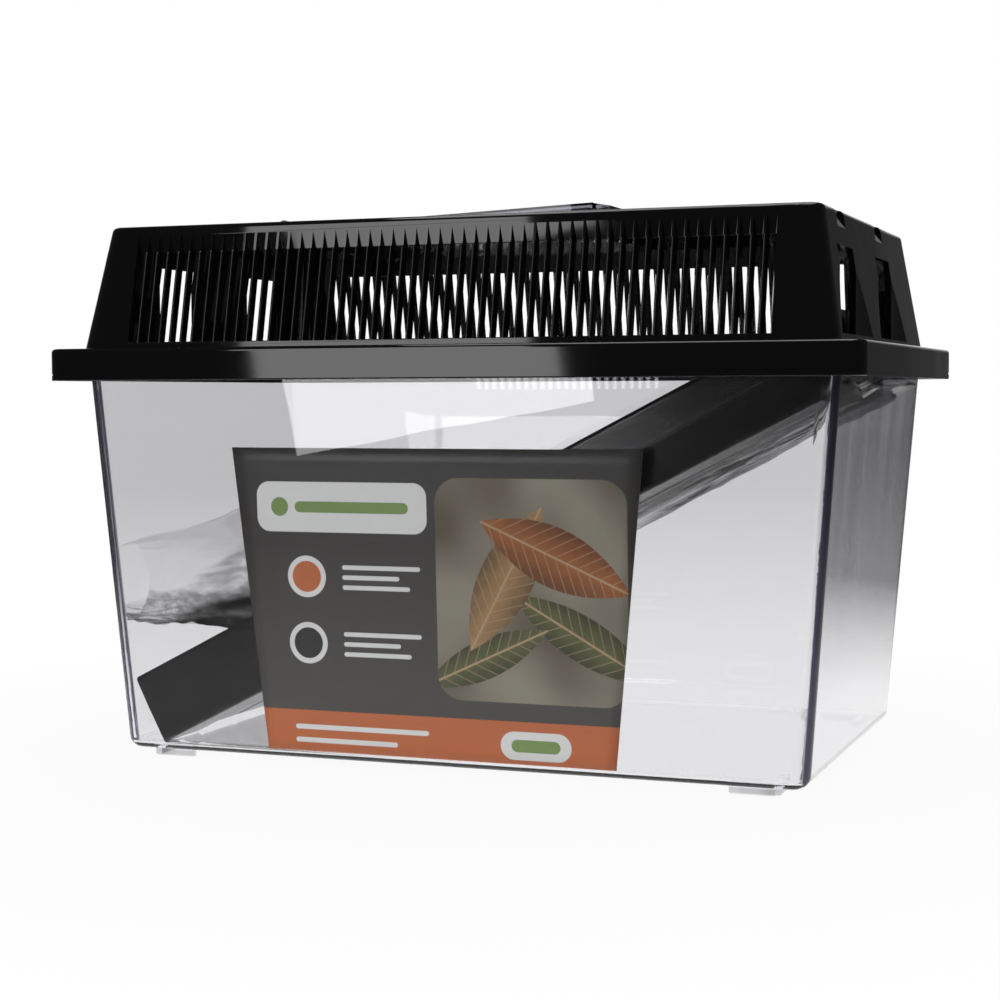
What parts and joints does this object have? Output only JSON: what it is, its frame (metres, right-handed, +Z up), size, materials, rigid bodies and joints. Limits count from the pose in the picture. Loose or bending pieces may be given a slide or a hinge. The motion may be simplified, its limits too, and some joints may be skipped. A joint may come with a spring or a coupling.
{
  "type": "cricket keeper box",
  "caption": "Clear tapered keeping box with a black slotted lift-off lid, a clear hinged feeding door, black square climbing tubes and a printed card behind the front wall.",
  "frame": {"origin": "middle of the box on the surface that its feet stand on", "axes": "+X along the length, towards the end with the tubes' high ends; the front with the card faces -Y; +Z up"},
  "size_m": [0.3, 0.194, 0.2012],
  "materials": {
    "clear_tank": "clear, glossy",
    "printed_card": "printed, satin",
    "black_lid": "glossy",
    "clear_door": "clear, glossy",
    "black_tube": "satin",
    "clear_film": "clear film"
  },
  "bodies": {
    "tank": {"tank": "clear_tank", "label_card": "printed_card"},
    "lid": {"lid": "black_lid"},
    "door": {"feeding_door": "clear_door"},
    "loose_tube": {"tube_1": "black_tube"},
    "tube_pack": {"tube_2": "black_tube", "tube_3": "black_tube", "tube_4": "black_tube", "tube_bag": "clear_film"}
  },
  "joints": [
    {"name": "lid_lift", "type": "slide", "parent": "tank", "child": "lid", "axis": [0, 0, 1], "range_m": [0, 0.3]},
    {"name": "door_hinge", "type": "hinge", "parent": "lid", "child": "door", "pos_m": [-0.0855, 0, 0.19825], "axis": [0, -1, 0], "range_deg": [0, 105]},
    {"name": "loose_tube_lift", "type": "slide", "parent": "tank", "child": "loose_tube", "axis": [0, 0, 1], "range_m": [0, 0.18]},
    {"name": "tube_pack_lift", "type": "slide", "parent": "tank", "child": "tube_pack", "axis": [0, 0, 1], "range_m": [0, 0.18]}
  ],
  "couplings": [
    {"joint": "loose_tube_lift", "follows": "lid_lift", "ratio": 0.6},
    {"joint": "tube_pack_lift", "follows": "lid_lift", "ratio": 0.6}
  ]
}
